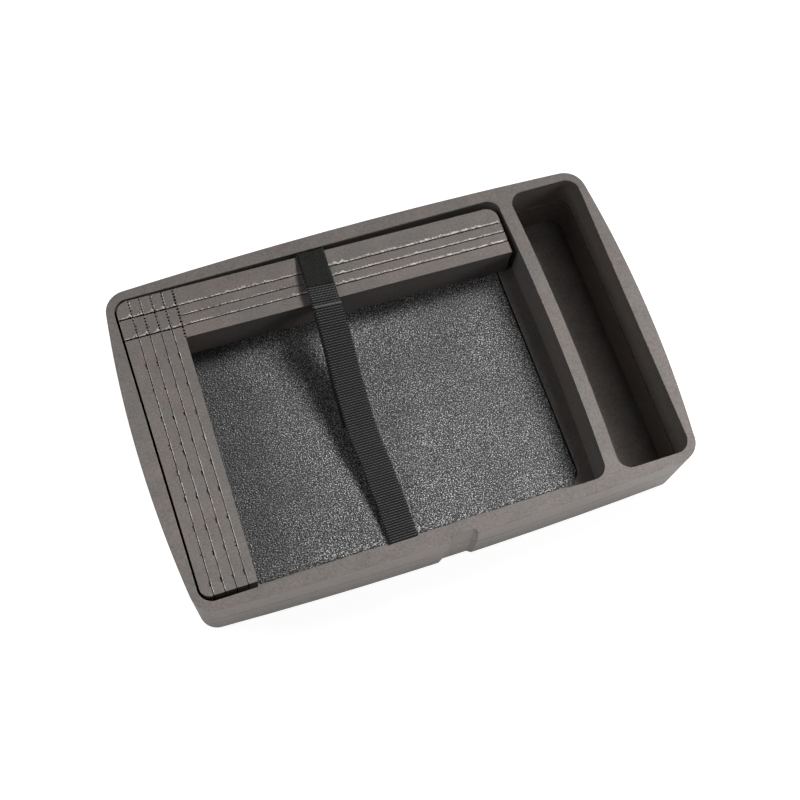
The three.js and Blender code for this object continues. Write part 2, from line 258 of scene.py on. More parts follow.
def foam_finish(name, shaded_joint=False):
    """Closed-cell foam: warm grey with faint clouds of colour, fine cells and a dry sheen.

    Where two courses meet, a thin dark line is painted round the outside: painted shade of the crack at the
    joint.
    """
    finish = Finish(name)
    place = finish.place()
    clouds = finish.grain(place, scale=38, detail=3, rough=0.55)
    fine = finish.grain(place, scale=560, rough=0.7)
    finest = finish.grain(place, scale=1500, rough=0.6)
    streaks = finish.grain(finish.stretched(place, (60, 60, 700)), scale=1)
    tint = finish.mix(finish.spread(clouds, 0.38, 0.62), FOAM_WARM, FOAM_COOL)
    level = 0.93 + 0.9 * (fine - 0.5) + 0.35 * (finest - 0.5) + 0.3 * (streaks - 0.5)
    shade = finish.node("ShaderNodeCombineXYZ", values={"X": level, "Y": level, "Z": level})
    colour = finish.mix(1.0, tint, shade, "MULTIPLY")
    if shaded_joint:
        x, y, z = finish.parts(place)
        inside = (x * x).below(OUTSIDE_X ** 2) * (y * y).below(OUTSIDE_Y ** 2)
        above = z - LAMINATION
        joint_shade = (above * above).below((JOINT_SHADE_HEIGHT / 2) ** 2)
        # Painted shade: the crack at the joint is darkened round the outside
        colour = finish.mix(joint_shade * (1 - inside) * (0.3 + 1.1 * clouds), colour, JOINT_SHADE)
    normal = finish.bump(finish.cells(place, scale=1100), strength=0.35, distance=0.00025)
    normal = finish.bump(finish.grain(place, scale=220), strength=0.2, distance=0.0006, under=normal)
    return finish.surface(colour, normal, roughness=0.78, specular=0.35)


# The lips' pale colours are partly the torn foam's own colour and partly painted highlight, where the ridges
# catch the light
TORN_SHADE = (0.16, 0.15, 0.141)
TORN_PALE_AND_HIGHLIGHT = (0.27, 0.255, 0.243)
SMEARED_PALE_AND_HIGHLIGHT = (0.66, 0.63, 0.60)


def torn_finish(name, brightest):
    """The lips of a tear line, where the foam is smeared shiny by the blade. Their pale colour is partly the
    torn foam's own and partly painted highlight, where the ridges catch the light.
    """
    finish = Finish(name)
    place = finish.place()
    blobs = finish.grain(place, scale=420)
    colour = finish.ramp(blobs, 0.35, 0.7, TORN_SHADE, brightest)
    normal = finish.bump(finish.grain(place, scale=900), strength=0.3, distance=0.0003)
    return finish.surface(colour, normal, roughness=0.38, specular=0.6)


PAD_PIT_SHADE = (0.005, 0.005, 0.0055)
PAD_CELL = (0.024, 0.024, 0.025)
PAD_GLINT = (0.67, 0.67, 0.675)
# Beside the divider's leg the painted glints are dimmed, as painted shade of the leg. They grow to full
# strength across this stretch of X
LEG_SIDE = -0.165
LEG_CLEAR = -0.085
LEG_SHADE_GLINTS = 0.36


def pad_finish():
    """Coarse open-cell foam: charcoal, with bright glints on the cell walls painted into its colour as
    painted highlights, and its pits painted darker as painted shade.
    """
    finish = Finish("charcoal_pad_foam")
    place = finish.place()
    cells = finish.cells(place, scale=640)
    glints = finish.grain(place, scale=980, rough=0.65)
    clouds = finish.grain(place, scale=26)
    x = finish.parts(place)[0]
    # Painted shade of the divider's leg: the glints are dimmed near it
    leg_shade = finish.spread(x, LEG_SIDE, LEG_CLEAR, LEG_SHADE_GLINTS)
    # The pits are painted darker than the cell walls: painted shade in the holes
    base = finish.ramp(cells, 0.1, 0.75, PAD_PIT_SHADE, PAD_CELL)
    # The glints are painted highlights: bright colour where the cell walls would catch the light
    shine = finish.spread(glints, 0.53, 0.66)
    colour = finish.mix(shine * leg_shade * (0.4 + 0.8 * clouds), base, PAD_GLINT)
    normal = finish.bump(cells, strength=0.8, distance=0.0009)
    normal = finish.bump(glints, strength=0.5, distance=0.0005, under=normal)
    return finish.surface(colour, normal, roughness=0.62 - 0.22 * shine, specular=0.5)


RIB_PITCH = 0.00215
YARN_PITCH = 0.0031
PALE_ROW = 0.001
RIB_GAP_SHADE = grey(0.0008)
YARN_LIGHT = grey(0.085)
PALE_ROW_YARN = grey(0.2)


def webbing_finish(name, pale_row_at=None):
    """Ribbed webbing: black yarn, whose ribs run across the strap, with painted shade in the gaps between
    ribs and threads, and a paler row of yarn at pale_row_at if it is given.
    """
    finish = Finish(name)
    along, across = finish.along_and_across()
    rib = 0.5 + 0.5 * (along * (2 * math.pi / RIB_PITCH)).wave()
    yarn = 0.5 + 0.5 * (across * (2 * math.pi / YARN_PITCH) + along * (math.pi / RIB_PITCH)).wave()
    fray = finish.grain(finish.place(), scale=900)
    # The colour follows the ribs' height: painted shade in the gaps between ribs and threads
    height = rib * (0.74 + 0.26 * yarn)
    rib_shading = finish.spread(height * (0.65 + 0.7 * fray), 0.52, 0.95)
    colour = finish.mix(rib_shading, RIB_GAP_SHADE, YARN_LIGHT)
    # A paler row of yarn across the strap, at the given place
    if pale_row_at is not None:
        past = along - pale_row_at
        row = (past * past).below((PALE_ROW / 2) ** 2)
        colour = finish.mix(row * (0.3 + 0.5 * fray), colour, PALE_ROW_YARN)
    normal = finish.bump(yarn * rib + 0.4 * fray, strength=0.5, distance=0.0003)
    return finish.surface(colour, normal, roughness=0.7, specular=0.25)


NAP_SHADE = (0.004, 0.0042, 0.0037)
NAP_LIGHT = (0.040, 0.040, 0.036)
NAP_PITCH = 0.0024


def nap_finish(name):
    """Napped loop tape and hook tape: matt black, slightly brown fuzz on a slanting weave."""
    finish = Finish(name)
    nap = finish.grain(finish.place(), scale=1400, detail=3, rough=0.65)
    along, across = finish.along_and_across()
    weave = ((along - across * 1.3) * (2 * math.pi / NAP_PITCH)).wave()
    colour = finish.ramp(nap + 0.12 * weave, 0.35, 0.72, NAP_SHADE, NAP_LIGHT)
    normal = finish.bump(nap + 0.25 * weave, strength=0.9, distance=0.0007)
    return finish.surface(colour, normal, roughness=0.95, specular=0.15)


tray_foam = foam_finish("tray_foam", shaded_joint=True)
divider_foam = foam_finish("divider_foam")
torn_foam = torn_finish("torn_foam_lip", TORN_PALE_AND_HIGHLIGHT)
highlit_smeared_foam = torn_finish("highlit_smeared_foam_lip", SMEARED_PALE_AND_HIGHLIGHT)
pad_foam = pad_finish()
webbing = webbing_finish("strap_webbing")
napped_tape = nap_finish("loop_nap")


# Pieces

def new_piece(name, form, material, body, replaced=()):
    mesh = bpy.data.meshes.new(name)
    form.to_mesh(mesh)
    form.free()
    piece = bpy.data.objects.new(name, mesh)
    bpy.context.collection.objects.link(piece)
    mesh.materials.append(material)
    for face in mesh.polygons:
        face.use_smooth = True
    if body:
        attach(piece, body)
    if replaced:
        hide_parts(*replaced)
    return piece


WELD = 2e-6
FLAT_WITHIN = math.radians(0.3)


def welded(node):
    """A bmesh of a CAD node with its loose triangles joined and its flat faces whole."""
    form = bmesh.new()
    form.from_mesh(frame["nodes"][node].data)
    for layer in list(form.loops.layers.uv):
        form.loops.layers.uv.remove(layer)
    bmesh.ops.remove_doubles(form, verts=form.verts, dist=WELD)
    bmesh.ops.dissolve_limit(form, angle_limit=FLAT_WITHIN, verts=form.verts, edges=form.edges)
    return form


def soften(piece, width):
    """Rounds the weighted edges of a piece and keeps its flat faces flat in the light."""
    bevel = piece.modifiers.new("edge", "BEVEL")
    bevel.limit_method = "WEIGHT"
    bevel.width = width
    bevel.segments = 3
    shading = piece.modifiers.new("shading", "WEIGHTED_NORMAL")
    shading.keep_sharp = True


def thicken(piece, thickness):
    shell = piece.modifiers.new("thickness", "SOLIDIFY")
    shell.thickness = thickness
    shell.offset = -1


def turned_up(form):
    """Points the faces of an open form upwards."""
    bmesh.ops.recalc_face_normals(form, faces=form.faces)
    if sum(face.normal.z for face in form.faces) < 0:
        bmesh.ops.reverse_faces(form, faces=form.faces)
    return form


# Tray

EDGE_SOFTNESS = 0.0007
SEAM_SOFTNESS = 0.00022
SEAM_INSIDE = 0.1335
SHARP_TURN = math.radians(25)
ON_LEVEL = 1e-5
FACES_Y = 0.99


def edge_weight(edge):
    """How much of the full rounding an edge takes: little where foam is butted to foam."""
    faces = edge.link_faces
    if len(faces) < 2 or faces[0].normal.angle(faces[1].normal, 0) < SHARP_TURN:
        return 0
    seam = SEAM_SOFTNESS / EDGE_SOFTNESS
    for level in (LAMINATION, FLOOR_TOP):
        if all(abs(vert.co.z - level) < ON_LEVEL for vert in edge.verts):
            return seam
    butted = [
        face for face in faces
        if abs(face.normal.y) > FACES_Y and abs(face.calc_center_median().y) < SEAM_INSIDE
    ]
    return seam if butted else 1


def add_foam(node):
    form = welded(node)
    weights = form.edges.layers.float.new("bevel_weight_edge")
    for edge in form.edges:
        edge[weights] = edge_weight(edge)
    piece = new_piece(f"{node}_foam", form, tray_foam, body_of[node], [node])
    soften(piece, EDGE_SOFTNESS)


for course in ("lower", "upper"):
    for rail in ("left_rail", "partition", "right_rail", "back_rail", "front_rail"):
        add_foam(f"{course}_{rail}")
add_foam("floor_sheet")


# Divider: its tear lines are full-depth slits, bridged and bruised as a perforating blade leaves them

DIVIDER_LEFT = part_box("left_strip_1")[0].x
DIVIDER_BACK = 0.13345
STRIP_WIDTH = 0.0094
FIRST_COLUMN = -0.1972
FIRST_ROW = 0.11695
LEFT_SLOPE = math.tan(math.radians(0.6))
EDGE_SLOPE = math.tan(math.radians(1))
BACK_SLOPE = -math.tan(math.radians(0.94))
# Column lines 0 to 3 part the left strips. Line 4 is the inner edge, between the corner and the back strips
INNER_EDGE = 4
COLUMN_LINES = [
    (FIRST_COLUMN + STRIP_WIDTH * line, EDGE_SLOPE if line == INNER_EDGE else LEFT_SLOPE)
    for line in range(INNER_EDGE + 1)
]
ROW_LINES = [FIRST_ROW - STRIP_WIDTH * row for row in range(3)]
# Of the rows, the first and the last are torn through the corner too
CORNER_ROWS = (0, 2)
INNER_CORNER = 0.0868
CORNER_MARGIN = 0.0012


def on_column(line, y):
    at, slope = COLUMN_LINES[line]
    return Vector((at + slope * (y - DIVIDER_BACK), y))


def on_row(row, x):
    return Vector((x, ROW_LINES[row] + BACK_SLOPE * (x - DIVIDER_LEFT)))


def crossing(column, row):
    """Where a column's line meets a row's. The slopes are slight, so a few rounds settle it."""
    y = ROW_LINES[row]
    for _ in range(4):
        x = on_column(column, y).x
        y = on_row(row, x).y
    return Vector((x, y))


DASH_PITCH = 0.0029
HOLE_SHARE = 0.52
# How much the holes of each next line are shifted along it
COLUMN_SHIFT = 0.0009
ROW_SHIFT = 0.001
# Half widths of a line, how uneven each is, and how much a hole adds
CLOSED_GAP = 0.00008
CLOSED_UNEVEN = 0.00005
OPEN_GAP = 0.00036
OPEN_UNEVEN = 0.00016
COLUMN_HOLE = 0.001
ROW_HOLE = 0.0003
ROW_UNEVEN = 0.0001
CORNER_ROW_EXTRA = 0.0005
BACK_ROW_EXTRA = 0.0001
# Where the blade nicked each left line, by place along Y in mm. Of the 37 places, 27 were read in the
# photograph and turned into mm with the solved camera. The other ten, nine of them furthest back, are guesses
# at the same spacing
NICKS = (
    (-119.6, -95.5, -73.3, -48.3, -25.1, -2.2, 22.6, 47.3, 71.0),
    (-119.0, -97.0, -74.9, -48.3, -24.4, -10.3, -3.0, 21.9, 46.9, 70.4),
    (-118.7, -95.3, -72.2, -47.7, -31.6, -2.0, 22.6, 47.2, 69.8),
    (-118.9, -95.1, -72.9, -47.6, -24.3, -2.7, 20.0, 46.0, 72.3),
)
# Each nick is up to three ticks, this far apart in mm, and deeper on the left side of the line
TICKS = (-1.5, 0, 1.5)
TICK_DEPTH = {-1: 0.0015, 1: 0.0011}
TICK_REACH = 0.45
TICK_UNEVEN = 0.15
TICK_MISSED = -0.25


def perforation(at):
    """1 where a place along a line is in a hole of the perforating blade, and 0 on a bridge."""
    return 1 if (at / DASH_PITCH) % 1 < HOLE_SHARE else 0


def column_half_gap(line, y, side):
    """Half of the width that a column's line shows at y, on one side of it.

    In the corner the line is closed between its holes. Along the left strips it is open a little, with nicks.
    """
    at = y * 1000
    if y > on_row(2, COLUMN_LINES[line][0]).y or line == INNER_EDGE:
        hole = perforation(y + COLUMN_SHIFT * line) if y > INNER_CORNER else 0
        uneven = CLOSED_UNEVEN * rough(at, line, side)
        return CLOSED_GAP + uneven + COLUMN_HOLE * hole * (1 + 0.5 * rough(at * 0.4, line, 7))
    for nick in NICKS[line]:
        for tick in TICKS:
            reach = TICK_REACH + TICK_UNEVEN * rough(nick + tick, line, 5)
            deep = rough(nick * 0.7 + tick, line, 8) > TICK_MISSED
            if deep and abs(at - nick - tick) < reach:
                return TICK_DEPTH[side]
    return OPEN_GAP + OPEN_UNEVEN * rough(at * 0.9, 9 + line, side)


def row_half_gap(row, x, side):
    """Half of the width that a row's line shows at x, on one side of it."""
    at = x * 1000
    hole = perforation(x + ROW_SHIFT * row)
    extra = CORNER_ROW_EXTRA if x < COLUMN_LINES[INNER_EDGE][0] else BACK_ROW_EXTRA
    return OPEN_GAP + extra + ROW_UNEVEN * rough(at * 0.8, 30 + row, side) + ROW_HOLE * hole


CUT_REACH = 0.0005
FREE_FACE = 0.0001


def side_of(gaps):
    return 1 if sum(gaps) > 0 else -1


def beside(corners):
    """The tear lines that a piece touches, each with the side of it that the piece lies on.

    A strip that lies right on the inner edge has a free face there, and no tear.
    """
    columns = []
    for line in range(len(COLUMN_LINES)):
        gaps = [corner.x - on_column(line, corner.y).x for corner in corners]
        close = [gap for gap in gaps if abs(gap) < CUT_REACH]
        free = line == INNER_EDGE and any(abs(gap) <= FREE_FACE for gap in close)
        if len(close) > 1 and not free:
            columns.append((line, side_of(close)))
    rows = []
    for row in range(len(ROW_LINES)):
        gaps = [corner.y - on_row(row, corner.x).y for corner in corners]
        close = [gap for gap in gaps if abs(gap) < CUT_REACH]
        if len(close) > 1:
            rows.append((row, side_of(close)))
    return columns, rows


NEAR_LINE = 0.004


def kept_clear(point, columns, rows):
    """A place on a piece's outline, moved out of the tear lines beside the piece."""
    for line, side in columns:
        middle = on_column(line, point.y).x
        gap = side * (point.x - middle)
        if gap < NEAR_LINE:
            point.x = middle + side * max(gap, column_half_gap(line, point.y, side))
    for row, side in rows:
        middle = on_row(row, point.x).y
        gap = side * (point.y - middle)
        if gap < NEAR_LINE:
            point.y = middle + side * max(gap, row_half_gap(row, point.x, side))
    return point


SHORT_EDGE = 0.004
TEAR_STEP = 0.00036


def ragged_edge(start, end):
    """The points from start up to end, drawn along the tear line that the edge lies on, if it does."""
    span = end - start
    if span.length < SHORT_EDGE:
        return [start]
    steps = int(span.length / TEAR_STEP)
    straight = [start + span * k / steps for k in range(steps)]
    for line in range(len(COLUMN_LINES)):
        gaps = [point.x - on_column(line, point.y).x for point in (start, end)]
        if max(map(abs, gaps)) < CUT_REACH and abs(span.x) < abs(span.y):
            if line == INNER_EDGE and max(start.y, end.y) < INNER_CORNER + CORNER_MARGIN:
                return [start]
            side = 1 if gaps[0] > 0 else -1
            return [
                Vector((on_column(line, point.y).x + side * column_half_gap(line, point.y, side), point.y))
                for point in straight
            ]
    for row in range(len(ROW_LINES)):
        gaps = [point.y - on_row(row, point.x).y for point in (start, end)]
        if max(map(abs, gaps)) < CUT_REACH and abs(span.y) < abs(span.x):
            side = 1 if gaps[0] > 0 else -1
            return [
                Vector((point.x, on_row(row, point.x).y + side * row_half_gap(row, point.x, side)))
                for point in straight
            ]
    return [start]


# How far the divider stands in from each wall, past its solid, and how far in that fades out
LEG_SHORT = 0.0018
LEG_FADE = 0.03
LEFT_GAP = 0.0008
BACK_GAP = 0.0006
WALL_FADE = 0.012
MOVED = 0.00002
SAME_POINT = 0.00003


def divider_outline(node):
    """The outline of a divider piece, with its torn sides cut ragged to the blade's pattern."""
    source = welded(node)
    top = max(source.faces, key=lambda face: face.normal.z * face.calc_area())
    corners = [Vector(vert.co.xy) for vert in top.verts]
    source.free()
    for corner in corners:
        corner.y += LEG_SHORT * max(0, 1 - (corner.y + BACK_WALL) / LEG_FADE)
        corner.x += LEFT_GAP * max(0, 1 - (corner.x - DIVIDER_LEFT) / WALL_FADE)
        corner.y -= BACK_GAP * max(0, 1 - (DIVIDER_BACK - corner.y) / WALL_FADE)
    columns, rows = beside(corners)
    points = []
    for start, end in zip(corners, corners[1:] + corners[:1]):
        for k, point in enumerate(ragged_edge(start, end)):
            moved = kept_clear(point.copy(), columns, rows)
            if k == 0 or (moved - point).length < MOVED:
                points.append(moved)
    outline = [points[0]]
    for point in points[1:]:
        if (point - outline[-1]).length > SAME_POINT:
            outline.append(point)
    return outline


DIVIDER_SOFTNESS = 0.0006
DIVIDER_TURN = math.radians(28)
LONG_EDGE = 0.003


def add_divider_part(node):
    """A prism over the piece's outline. Only its long edges are rounded, and the torn ones stay crisp."""
    outline = divider_outline(node)
    low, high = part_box(node)
    form = bmesh.new()
    base = form.faces.new([form.verts.new((point.x, point.y, low.z)) for point in outline])
    raised = bmesh.ops.extrude_face_region(form, geom=[base])["geom"]
    tops = [vert for vert in raised if isinstance(vert, bmesh.types.BMVert)]
    bmesh.ops.translate(form, verts=tops, vec=(0, 0, high.z - low.z))
    bmesh.ops.recalc_face_normals(form, faces=form.faces)
    form.normal_update()
    weights = form.edges.layers.float.new("bevel_weight_edge")
    for edge in form.edges:
        faces = edge.link_faces
        sharp = faces[0].normal.angle(faces[1].normal, 0) > DIVIDER_TURN
        edge.smooth = not sharp
        edge[weights] = 1 if sharp and edge.calc_length() > LONG_EDGE else 0
    piece = new_piece(f"{node}_foam", form, divider_foam, body_of[node], [node])
    soften(piece, DIVIDER_SOFTNESS)


for column in range(1, 6):
    for stem in ("left_strip", "corner_block_1", "corner_block_2"):
        add_divider_part(f"{stem}_{column}")
for row in range(1, 5):
    add_divider_part(f"back_strip_{row}")


# Lips of torn foam along the tear lines

# side: the side of the line that the lip lies on. teeth: how much it follows the blade's teeth
Lip = namedtuple("Lip", "side width height teeth uneven")
LEG_LIP = Lip(side=-1, width=0.0009, height=0.00028, teeth=0.1, uneven=0.4)
CORNER_LIP = Lip(side=-1, width=0.0006, height=0.00022, teeth=0.6, uneven=0.9)
BLOCK_LIP = Lip(side=1, width=0.0019, height=0.00055, teeth=0.3, uneven=0.9)
BACK_LIPS = [
    Lip(side=1, width=width, height=height, teeth=0.5, uneven=0.9)
    for width, height in ((0.0022, 0.0006), (0.0015, 0.0004), (0.0017, 0.0005))
]
LIP_STEP = 0.0004
LIP_LANES = 7
LIP_START = 0.00034
LIP_SINK = 0.00008
LIP_FADE = 0.0012
LEAST_HANG = 0.00004
FULL_HANG = 0.00008
SMALLEST_LUMP = 0.08
LARGEST_LUMP = 3.6
CREST = 0.12


def lump_size(s, length, lip, seed, blobs):
    """The size of a lip at a place along it, where 1 is usual. Each tooth of the blade leaves a lump."""
    at = s * 1000
    lump = 0.5 - 0.5 * math.cos(2 * math.pi * (s / DASH_PITCH + 0.3 * rough(at * 0.2, seed, 3)))
    size = 0.6 + lip.uneven * rough(at * 0.13, seed * 7.3, 0.5) + 0.35 * rough(at * 0.9, seed, 2.5)
    size = max(SMALLEST_LUMP, size) * (1 - lip.teeth + 1.6 * lip.teeth * lump ** 2)
    for place, reach, extra in blobs:
        size += extra * math.exp(-((s - place) / reach) ** 2)
    size *= max(0, min(1, s / LIP_FADE, (length - s) / LIP_FADE))
    return min(size, LARGEST_LUMP)


def lay_lip(form, lip, start, end, seed, blobs=()):
    """A ragged ridge of smeared foam. Its crest hangs over the slit, and it runs out over the piece's top."""
    span = end - start
    steps = max(8, int(span.length / LIP_STEP))
    made = bmesh.ops.create_grid(form, x_segments=steps, y_segments=LIP_LANES, size=0.5)["verts"]
    way = span.normalized()
    out = Vector((-way.y, way.x)) * lip.side
    for vert in made:
        s = (vert.co.x + 0.5) * span.length
        t = (vert.co.y + 0.5) ** 1.5
        size = lump_size(s, span.length, lip, seed, blobs)
        hang = LEAST_HANG + FULL_HANG * min(1, size)
        reach = LIP_START - hang + t * lip.width * (0.45 + 0.55 * size)
        rise = min(1, t / CREST) ** 0.5 * (1 - max(0, t - CREST) / (1 - CREST)) ** 1.2
        place = start + way * s + out * reach
        vert.co = Vector((place.x, place.y, DIVIDER_TOP + lip.height * size * rise - LIP_SINK))


LIP_THICKNESS = 0.0003


def add_lips(name, body, material, lines):
    form = bmesh.new()
    for line in lines:
        lay_lip(form, *line)
    piece = new_piece(name, turned_up(form), material, body)
    thicken(piece, LIP_THICKNESS)


# Where the lips end, a little inside the divider's own ends
LIP_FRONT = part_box("left_strip_1")[0].y + LEG_SHORT + 0.0004
LIP_BACK = DIVIDER_BACK - 0.0012
LIP_LEFT = DIVIDER_LEFT + 0.0003
LIP_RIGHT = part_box("back_strip_1")[1].x - 0.0008
# How far they stop from the crossings
ROW_SPACE = Vector((0, 0.0006))
COLUMN_SPACE = Vector((0.0005, 0))


def add_column_lips(line):
    """The lips of a column's line: along the left strips, and through each of the two corner blocks."""
    low = crossing(line, 2)
    top = crossing(line, 0)
    add_lips(f"column_{line + 2}_lips", f"divider_column_{line + 2}", torn_foam, [
        (LEG_LIP, on_column(line, LIP_FRONT), low - ROW_SPACE, line + 1),
        (CORNER_LIP, low + ROW_SPACE, top - ROW_SPACE, line + 11),
        (CORNER_LIP, top + ROW_SPACE, on_column(line, LIP_BACK), line + 21),
    ])


# Each corner block has a smeared lump by its right-hand corner: place before the corner, reach and size
BLOCK_LUMP = (0.0021, 0.0017, 2.3)


def add_block_lips(column):
    """The lips of the rows across one column's corner blocks."""
    before, reach, extra = BLOCK_LUMP
    lines = []
    for row in CORNER_ROWS:
        left = crossing(column - 1, row) if column else on_row(row, LIP_LEFT)
        right = crossing(column, row)
        blobs = [((right - left).length - before, reach, extra)]
        lines.append((BLOCK_LIP, left + COLUMN_SPACE, right - COLUMN_SPACE, column + 31 + row, blobs))
    add_lips(f"corner_{column + 1}_lips", f"divider_column_{column + 1}", highlit_smeared_foam, lines)


# Along the back rows, in metres from the corner: wide stretches with more foam, and single lumps
BACK_STRETCHES = [(0.195, 0.07, 0.7), (0.27, 0.05, 0.6)]
BACK_LUMPS = ((0.044, 0.058, 0.068, 0.134, 0.139, 0.146), (0.137, 0.143, 0.21), (0.096, 0.141, 0.148, 0.25))
LUMP_REACH = 0.0018
LUMP_EXTRA = 1.7


def add_back_lips():
    lines = []
    for row, lip in enumerate(BACK_LIPS):
        lumps = [(place, LUMP_REACH, LUMP_EXTRA) for place in BACK_LUMPS[row]]
        start = crossing(INNER_EDGE, row) + COLUMN_SPACE
        lines.append((lip, start, on_row(row, LIP_RIGHT), 51 + row, BACK_STRETCHES + lumps))
    add_lips("back_lips", "tray", highlit_smeared_foam, lines)


for line in range(INNER_EDGE):
    add_column_lips(line)
for column in range(INNER_EDGE + 1):
    add_block_lips(column)
add_back_lips()


# Pad

PAD_VOXEL = 0.0025
PIT_DEPTH = 0.00022
PITS_PER_METRE = 330
SWELL_DEPTH = 0.0003
SWELLS_PER_METRE = 24
# The front edge of the pad's top laps the ledge, right of the divider's leg
FLANGE = 0.0046
FLANGE_LIFT = 0.0008
FLANGE_FROM = -0.1175
FLANGE_FADE = 0.0035
FLANGE_LEFT = -0.1625
PAD_SIDE_TOP = 0.0383


def remeshed(form):
    """The form made again from even cells, which rounds its rim."""
    source = bpy.data.meshes.new("pad_shape")
    form.to_mesh(source)
    form.free()
    shape = bpy.data.objects.new("pad_shape", source)
    bpy.context.collection.objects.link(shape)
    remesh = shape.modifiers.new("cells", "REMESH")
    remesh.mode = "VOXEL"
    remesh.voxel_size = PAD_VOXEL
    made = bpy.data.meshes.new_from_object(shape.evaluated_get(bpy.context.evaluated_depsgraph_get()))
    bpy.data.objects.remove(shape)
    form = bmesh.new()
    form.from_mesh(made)
    return form


def add_pad():
    """The loose pad, with a softly rounded rim and a coarse, uneven top."""
    low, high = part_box("bay_pad")
    form = remeshed(welded("bay_pad"))
    for vert in form.verts:
        pit = PIT_DEPTH * noise.noise(vert.co * PITS_PER_METRE)
        swell = SWELL_DEPTH * noise.noise(vert.co * SWELLS_PER_METRE)
        vert.co.z = min(vert.co.z, high.z) - abs(pit) - abs(swell)
        on_flange = vert.co.z > PAD_SIDE_TOP and vert.co.x > FLANGE_LEFT
        share = clamped((FLANGE_FROM - vert.co.y) / FLANGE_FADE) if on_flange else 0
        vert.co.z += FLANGE_LIFT * share
        vert.co.x = max(low.x, min(high.x, vert.co.x))
        vert.co.y = max(low.y, min(high.y, vert.co.y)) - FLANGE * share
    piece = new_piece("bay_pad_foam", form, pad_foam, "tray", ["bay_pad"])


add_pad()


# Straps: routes in Y and Z, as in the solids

STRAP_CENTRE = -0.0375
STRAP_WIDTH = 0.0245
STRAP_THICKNESS = 0.0014
TAPE_THICKNESS = 0.0008
SEAT = 0.00025
STACK = STRAP_THICKNESS + 2 * TAPE_THICKNESS + 3 * SEAT
FRONT_HINGE = Vector((-BACK_WALL + STRAP_THICKNESS / 2 + 0.0003, LAMINATION + SEAT + STRAP_THICKNESS / 2))
REAR_HINGE = Vector((BACK_WALL - SEAT - STRAP_THICKNESS / 2, DIVIDER_TOP + SEAT + STRAP_THICKNESS / 2))
RISE = math.radians(4.5)
DROP = math.radians(16)
FRONT_HOLD = 0.35
BACK_HOLD = 0.43
BEND_Y = 0.08367
SAG_STEPS = 200


def bezier(points, share):
    a, b, c, d = points
    rest = 1 - share
    return a * rest ** 3 + b * 3 * rest * rest * share + c * 3 * rest * share * share + d * share ** 3


def sag_points():
    """The front half's four control points, ending over the divider's inner edge."""
    bend = Vector((BEND_Y, REAR_HINGE.y))
    drop = Vector((math.cos(DROP), math.sin(DROP)))
    rise = Vector((math.cos(RISE), math.sin(RISE)))
    top = bend + Vector((-drop.y, drop.x)) * STACK
    chord = (top - FRONT_HINGE).length
    return FRONT_HINGE, FRONT_HINGE + rise * FRONT_HOLD * chord, top - drop * BACK_HOLD * chord, top


class Route:
    """A smooth path in the Y and Z plane, read by its length."""

    def __init__(self, points):
        self.points = points
        self.marks = [0.0]
        for before, after in zip(points, points[1:]):
            self.marks.append(self.marks[-1] + (after - before).length)
        self.length = self.marks[-1]

    def at(self, distance):
        """The place at a distance along the path, and the way that the path goes there."""
        distance = max(0.0, min(self.length, distance))
        i = 0
        while i < len(self.points) - 2 and self.marks[i + 1] < distance:
            i += 1
        step = self.points[i + 1] - self.points[i]
        share = (distance - self.marks[i]) / step.length
        return self.points[i] + step * share, step.normalized()


def below(points, depth):
    """The same path moved sideways towards its underside."""
    moved = []
    for i, point in enumerate(points):
        before = points[max(i - 1, 0)]
        after = points[min(i + 1, len(points) - 1)]
        way = (after - before).normalized()
        moved.append(point + Vector((way.y, -way.x)) * depth)
    return moved


SAG = [bezier(sag_points(), i / SAG_STEPS) for i in range(SAG_STEPS + 1)]
SAG_LENGTH = Route(SAG).length

# The slack strap's lie, by place along Y: sideways shift in mm, and roll in degrees with its right edge lower
LIE = [
    (-133, -0.6, 0), (-100, -0.7, 2), (-64, -2.4, 3), (-27, -5.1, 3), (9, -4.3, 3), (43, -2.6, 5),
    (72, -2.4, 8), (90, -2.2, 10), (110, -1.4, 9), (134, -0.4, 3),
]


def lie_at(y):
    """The strap's sideways shift and its roll at a place along Y."""
    y = max(LIE[0][0], min(LIE[-1][0], y * 1000))
    for (a, shift_a, roll_a), (b, shift_b, roll_b) in zip(LIE, LIE[1:]):
        if y <= b:
            share = eased((y - a) / (b - a))
            break
    return (shift_a + (shift_b - shift_a) * share) / 1000, math.radians(roll_a + (roll_b - roll_a) * share)


ARCH = 0.0035
ARCH_BACK = 0.1315
ARCH_BACK_FADE = 0.035
ARCH_FRONT = 0.02
ARCH_FRONT_FADE = 0.055


def arch(y):
    """How far the stiff webbing arches over the divider, between the slit at the back and its inner edge."""
    rise = clamped((ARCH_BACK - y) / ARCH_BACK_FADE)
    fall = clamped((y - ARCH_FRONT) / ARCH_FRONT_FADE)
    return ARCH * eased(rise) * eased(fall)


# Away from the walls the webbing shows its full width, which is a little more than its solid's
FREE_WIDTH = 0.0008
FREE_WITHIN = 0.128
FREE_FADE = 0.02
# Over the divider the strap rolls about its low edge, which rests there
REST_FADE = 0.03


